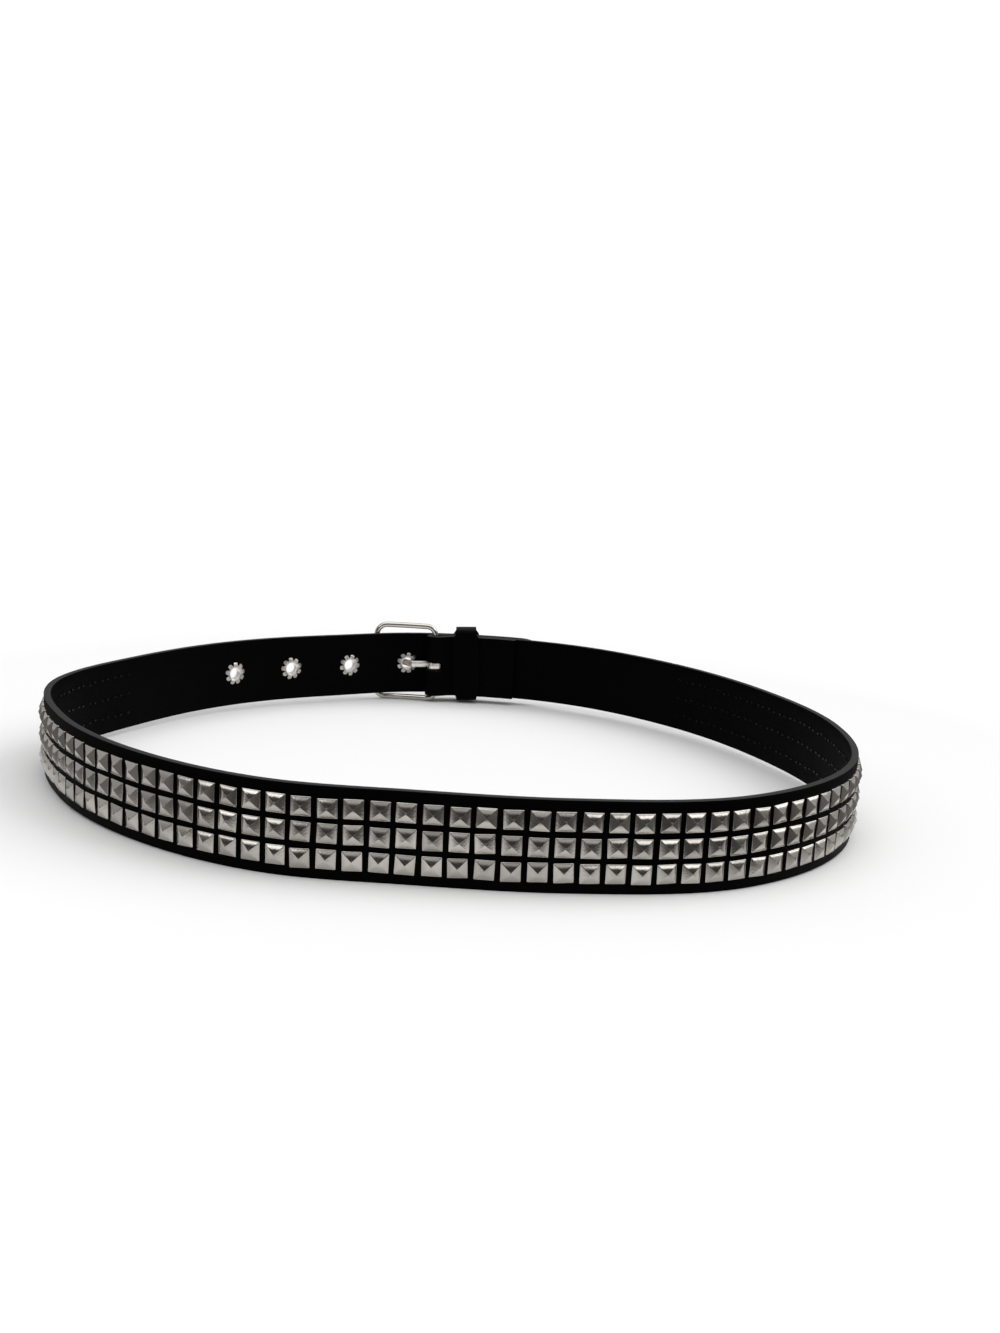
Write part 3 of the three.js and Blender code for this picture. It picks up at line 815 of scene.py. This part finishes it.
stud.to_mesh(stud_mesh)
stud.free()
print("one stud has", len(stud_mesh.polygons), "faces")

# %% Places of the studs
STUD_ROWS = 3
STUD_COLUMNS = 76
STUD_ROW_PITCH = 10 * MM
STUD_START = 160.1 * MM

stud_frames = []
for column in range(STUD_COLUMNS):
    start = plan(STUD_START + column * STUD_PITCH, 0)
    end = plan(STUD_START + (column + 1) * STUD_PITCH, 0)
    heading = (end - start).normalized()
    for row in range(STUD_ROWS):
        height = STRAP_WIDTH / 2 + (row - (STUD_ROWS - 1) / 2) * STUD_ROW_PITCH
        stud_frames.append(placing((start + end) / 2, heading, height))
print(len(stud_frames), "studs")

# %% All the studs
# How far the hand strays: degrees of turn and of tip, and millimetres aside
STUD_TWIST = 1.2
STUD_TIP = 1.3
STUD_STRAY = 0.12 * MM
STUD_TONES = (0.45, 1.0)

def stamp(shape, mesh):
    """Adds a copy of a mesh to a shape and returns the copy's vertices."""
    count = len(shape.verts)
    shape.from_mesh(mesh)
    shape.verts.ensure_lookup_table()
    return shape.verts[count:]


hand = random.Random(7)
studs = bmesh.new()
tone_layer = studs.verts.layers.float.new("tone")
rise_layer = studs.verts.layers.float.new("rise")
for matrix in stud_frames:
    angles = (hand.gauss(0, STUD_TWIST), hand.gauss(0, STUD_TIP), hand.gauss(0, STUD_TIP))
    strayed = Matrix.Translation((0, hand.gauss(0, STUD_STRAY), hand.gauss(0, STUD_STRAY)))
    loose = strayed @ Euler([math.radians(angle) for angle in angles]).to_matrix().to_4x4()
    stud_tone = hand.uniform(*STUD_TONES)
    fresh = stamp(studs, stud_mesh)
    for vert in fresh:
        vert[tone_layer] = stud_tone
        vert[rise_layer] = max(0, (vert.co.x - STUD_SKIRT) / (STUD_PEAK - STUD_SKIRT))
    bmesh.ops.transform(studs, matrix=matrix @ loose, verts=fresh)
stud_piece = add_piece("pyramid_studs", studs, [stud_nickel], ["studded_strap"], sharp=50)
facets = stud_piece.modifiers.new("flat_facets", "WEIGHTED_NORMAL")
facets.keep_sharp = True

# %% [markdown]
# ## The claws inside
# Each stud is held by claws that go through the leather and are clenched over on the inside. A claw is a
# small tapered tab, so one tab is bevelled from a cube and set two to a stud. They are tarnished, so only a
# few faint glints of them show.

# %% One claw
CLAW_LONG = 2.0 * MM
CLAW_WIDE = 1.1 * MM
CLAW_THICK = 0.45 * MM
CLAW_TAPER = 0.45
CLAW_EASE = 0.09 * MM

claw = bmesh.new()
bmesh.ops.create_cube(claw, size=1)
for vert in claw.verts:
    narrow = CLAW_TAPER if vert.co.y > 0 else 1.0
    size = Vector((CLAW_THICK * narrow, CLAW_LONG, CLAW_WIDE * narrow))
    vert.co = vert.co * size
bmesh.ops.bevel(
    claw, geom=claw.edges[:], offset=CLAW_EASE, segments=1, profile=0.5, affect="EDGES", material=-1
)
claw_mesh = bpy.data.meshes.new("one_claw")
claw.to_mesh(claw_mesh)
claw.free()
print("one claw has", len(claw_mesh.polygons), "faces")

# %% All the claws
CLAW_APART = 2.7 * MM
# The share of its thickness that a claw's middle stands off the leather, and its stray turn in degrees
CLAW_PROUD = 0.3
CLAW_STRAY = 6

claws = bmesh.new()
for matrix in stud_frames:
    for turn in (0, math.pi):
        bent = Matrix.Rotation(turn + math.radians(hand.gauss(0, CLAW_STRAY)), 4, "X")
        place = Matrix.Translation((-LEATHER - CLAW_THICK * CLAW_PROUD, 0, 0)) @ bent
        place = place @ Matrix.Translation((0, -CLAW_APART, 0))
        bmesh.ops.transform(claws, matrix=matrix @ place, verts=stamp(claws, claw_mesh))
add_piece("stud_claws", claws, [claw_nickel], [])

# %% [markdown]
# ## The eyelets
# An eyelet is a tube with a rolled flange. Its split end is pushed through the leather and clenched into
# petals on the inside. The flange and tube are one profile spun round the hole, and the petals are one
# arched tab repeated round it.

# %% Flange and barrel
FLANGE_RADIUS = 5.5 * MM
FLANGE_RISE = 0.65 * MM
BARREL_PAST = 0.3 * MM
SPIN_STEPS = 32
SEAM = 0.001 * MM

bore = EYELET_BORE / 2
barrel = bore + EYELET_WALL
half = LEATHER / 2
profile = (
    (bore, -half - BARREL_PAST),
    (bore, half + 0.2 * MM),
    (bore + 0.25 * MM, half + FLANGE_RISE * 0.8),
    (bore + 0.8 * MM, half + FLANGE_RISE),
    (FLANGE_RADIUS - 0.7 * MM, half + FLANGE_RISE * 0.85),
    (FLANGE_RADIUS - 0.15 * MM, half + FLANGE_RISE * 0.4),
    (FLANGE_RADIUS, half),
    (barrel, half),
    (barrel, -half - BARREL_PAST),
)
eyelet = bmesh.new()
ring = [eyelet.verts.new((along, radius, 0)) for radius, along in profile]
edges = [eyelet.edges.new((first, second)) for first, second in zip(ring, ring[1:] + ring[:1])]
bmesh.ops.spin(
    eyelet, geom=ring + edges, cent=(0, 0, 0), axis=(1, 0, 0), dvec=(0, 0, 0), angle=2 * math.pi,
    steps=SPIN_STEPS, use_merge=True, use_duplicate=False,
)
bmesh.ops.remove_doubles(eyelet, verts=eyelet.verts, dist=SEAM)
bmesh.ops.recalc_face_normals(eyelet, faces=eyelet.faces)
print("the flange is", 2 * FLANGE_RADIUS / MM, "mm across")

# %% Petals
PETAL_COUNT = 9
PETAL_ROOT = 3.3 * MM
PETAL_REACH = 6.3 * MM
PETAL_THICK = 0.35 * MM
PETAL_LIFT = 0.15 * MM
PETAL_ARCH = 0.6 * MM
PETAL_WIDE = 2.6 * MM
PETAL_NARROWING = 0.7 * MM

petal = bmesh.new()
bmesh.ops.create_grid(petal, x_segments=12, y_segments=2, size=0.5)
for vert in petal.verts:
    t = vert.co.x + 0.5
    reach = PETAL_ROOT + (PETAL_REACH - PETAL_ROOT) * t
    arch = PETAL_LIFT + PETAL_ARCH * math.sin(math.pi * min(1, t * 1.05))
    round_end = math.sqrt(max(0.02, 1 - max(0, 4 * t - 3) ** 2))
    across = vert.co.y * (PETAL_WIDE - PETAL_NARROWING * t) * round_end
    vert.co = Vector((-half - arch, reach, across))
bmesh.ops.solidify(petal, geom=petal.faces[:], thickness=PETAL_THICK)
bmesh.ops.recalc_face_normals(petal, faces=petal.faces)
petal_mesh = bpy.data.meshes.new("one_petal")
petal.to_mesh(petal_mesh)
petal.free()
for number in range(PETAL_COUNT):
    turn = Matrix.Rotation(2 * math.pi * (number + 0.5) / PETAL_COUNT, 4, "X")
    bmesh.ops.transform(eyelet, matrix=turn, verts=stamp(eyelet, petal_mesh))
eyelet_mesh = bpy.data.meshes.new("one_eyelet")
eyelet.to_mesh(eyelet_mesh)
eyelet.free()
print("one eyelet has", len(eyelet_mesh.polygons), "faces")

# %% Set the eyelets
EYELET_TWIST = 45

for index in range(EYELET_COUNT):
    distance = eyelet_distance(index)
    before = plan(distance - FLANGE_RADIUS, lap(distance - FLANGE_RADIUS))
    after = plan(distance + FLANGE_RADIUS, lap(distance + FLANGE_RADIUS))
    heading = (after - before).normalized()
    outward = Vector((-heading.y, heading.x))
    point = plan(distance, lap(distance)) - outward * LEATHER / 2
    eyelet = bmesh.new()
    eyelet.from_mesh(eyelet_mesh)
    twist = Matrix.Rotation(math.radians(hand.uniform(0, EYELET_TWIST)), 4, "X")
    bmesh.ops.transform(eyelet, matrix=placing(point, heading, STRAP_WIDTH / 2) @ twist, verts=eyelet.verts)
    name = f"eyelet_{index + 1}"
    add_piece(f"eyelet_ring_{index + 1}", eyelet, [eyelet_nickel], [name])

# %% [markdown]
# ## The prong
# The prong is a flat-sided wire, curled round the heel bar, led inside the free end, out through an eyelet
# and over the far bar. Its line is a few points joined smoothly: an eye, drawn a little square as a bent
# wire's is, and then the way through the leather. It is a squared oval in section, with a rounded tip.

# %% Points of the prong
PRONG_THICK = 2.2 * MM
PRONG_STEP = 1.3 * MM
PRONG_PAST_BAR = 4.5 * MM
EYE_POINTS = 13
EYE_START = -108
EYE_STEP = 24
EYE_SQUARENESS = 0.16

curl = WIRE_RADIUS + CLEARANCE + PRONG_THICK / 2
_, bar_heading, bar_outward = line_at(0)
prong_points = []
for step in range(EYE_POINTS):
    angle = math.radians(EYE_STEP * step + EYE_START)
    ray = -bar_outward * math.cos(angle) + bar_heading * math.sin(angle)
    squarer = 1 + EYE_SQUARENESS * math.sin(2 * angle) ** 2
    prong_points.append(heel_centre + ray * curl * squarer)
used = eyelet_distance(EYELET_IN_USE - 1)
arm = BAR_OFFSET + curl
over_flange = lap(used) + 2 * CLEARANCE + 0.5 * MM + PRONG_THICK / 2
over_bar = lap(far_place) + 2 * CLEARANCE + 2 * WIRE_RADIUS + PRONG_THICK / 2
prong_points += [
    plan(used + EYELET_BORE, arm),
    plan(used + 2.5 * PRONG_STEP, arm),
    plan(used + PRONG_STEP, lap(used) - LEATHER - CLEARANCE),
    plan(used - PRONG_STEP, lap(used) + CLEARANCE),
    plan(used - 2.5 * PRONG_STEP, over_flange),
    plan(far_place + 2 * WIRE_RADIUS, over_bar),
    plan(far_place, over_bar),
    plan(far_place - PRONG_PAST_BAR, over_bar - CLEARANCE),
]
print("the prong is led by", len(prong_points), "points")

# %% Line of the prong
PRONG_PARTS = 4

def smooth_line(points, parts):
    """Points of a soft line through the given ones."""
    line = []
    ends = [points[0], *points, points[-1]]
    for number in range(len(points) - 1):
        line += [glide(*ends[number:number + 4], part / parts) for part in range(parts)]
    return line + [points[-1]]


prong_line = smooth_line(prong_points, PRONG_PARTS)
print("the prong's line has", len(prong_line), "points")

# %% Prong
PRONG_ROUNDNESS = 3.2

prong_rings = []
for number, spot in enumerate(prong_line):
    before = prong_line[max(0, number - 1)]
    after = prong_line[min(len(prong_line) - 1, number + 1)]
    along = (after - before).normalized()
    from_tip = len(prong_line) - 1 - number
    rounding = min(1, 0.35 + 0.28 * from_tip) * min(1, 0.8 + 0.2 * number)
    out = Vector((-along.y, along.x, 0))
    centre = Vector((spot.x, spot.y, STRAP_WIDTH / 2))
    up = Vector((0, 0, 1))
    prong_rings.append(ring_matrix(centre, up, out, PRONG_WIDTH / 2 * rounding, PRONG_THICK / 2 * rounding))
prong_shape = tube(prong_rings, closed=False, roundness=PRONG_ROUNDNESS)
add_piece("buckle_tongue", prong_shape, [prong_nickel], ["buckle_prong"])

# %% [markdown]
# ## The keeper
# The keeper is a strip of thinner leather closed into a flat loop round the strap, its fold and the free end.
# A box with two sides open, its corners rounded and its wall thickened outwards, is that loop. Its inner
# rims are rounded. Wear has pinched it where it turns over the strap's edges, and it sits a little askew.

# %% Keeper
KEEPER_LEATHER = 1.9 * MM
KEEPER_ROOM_ABOVE = 2.6 * MM
KEEPER_ROOM_BELOW = 0.6 * MM
KEEPER_CORNER = 0.9 * MM

keeper_out = lap(LOOP_LENGTH + KEEPER_FROM_BAR) + 2 * CLEARANCE + 0.5 * MM
keeper_in = -2 * (LEATHER + CLEARANCE) - CLEARANCE
keeper_tall = STRAP_WIDTH + KEEPER_ROOM_ABOVE + KEEPER_ROOM_BELOW
keeper_middle = (STRAP_WIDTH + KEEPER_ROOM_ABOVE - KEEPER_ROOM_BELOW) / 2
keeper = bmesh.new()
bmesh.ops.create_cube(keeper, size=1)
open_sides = [face for face in keeper.faces if abs(face.normal.y) > 0.5]
bmesh.ops.delete(keeper, geom=open_sides, context="FACES_ONLY")
bmesh.ops.scale(keeper, vec=(keeper_out - keeper_in, KEEPER_WIDTH, keeper_tall), verts=keeper.verts)
bmesh.ops.translate(keeper, vec=((keeper_out + keeper_in) / 2, 0, keeper_middle), verts=keeper.verts)
lengthwise = [
    edge for edge in keeper.edges
    if abs((edge.verts[0].co - edge.verts[1].co).y) > KEEPER_WIDTH / 2
]
bmesh.ops.bevel(
    keeper, geom=lengthwise, offset=KEEPER_CORNER, segments=4, profile=0.5, affect="EDGES", material=-1
)
bmesh.ops.recalc_face_normals(keeper, faces=keeper.faces)
outer_wall = bmesh.ops.solidify(keeper, geom=keeper.faces[:], thickness=-KEEPER_LEATHER)["geom"]
bmesh.ops.recalc_face_normals(keeper, faces=keeper.faces)
print("the keeper's opening is", round(keeper_tall / MM, 1), "mm tall")

# %% Wear of the keeper
KEEPER_RIM = 1.4 * MM
KEEPER_PINCH = 0.22
PINCH_FROM = 0.86
KEEPER_ASKEW = math.radians(-3)

outside = {item for item in outer_wall if isinstance(item, bmesh.types.BMVert)}
rims = [edge for edge in keeper.edges if edge.calc_face_angle(0) > SHARP_CORNER]
rims = [edge for edge in rims if not outside & set(edge.verts)]
bmesh.ops.bevel(keeper, geom=rims, offset=KEEPER_RIM, segments=4, profile=0.5, affect="EDGES", material=-1)
half_tall = keeper_tall / 2
for side in (-1, 1):
    everything = keeper.verts[:] + keeper.edges[:] + keeper.faces[:]
    level = keeper_middle + side * PINCH_FROM * half_tall
    bmesh.ops.bisect_plane(keeper, geom=everything, plane_co=(0, 0, level), plane_no=(0, 0, 1))
for vert in keeper.verts:
    vert.co.y *= 1 - KEEPER_PINCH * smooth(abs(vert.co.z - keeper_middle) / half_tall, PINCH_FROM, 1)
point, heading, _ = line_at(KEEPER_FROM_BAR)
askew = Matrix.Translation((0, 0, keeper_middle)) @ Matrix.Rotation(KEEPER_ASKEW, 4, "X")
askew = askew @ Matrix.Translation((0, 0, -keeper_middle))
bmesh.ops.transform(keeper, matrix=placing(point, heading, 0) @ askew, verts=keeper.verts)
add_piece("keeper_band", keeper, [keeper_leather], ["keeper_loop"])
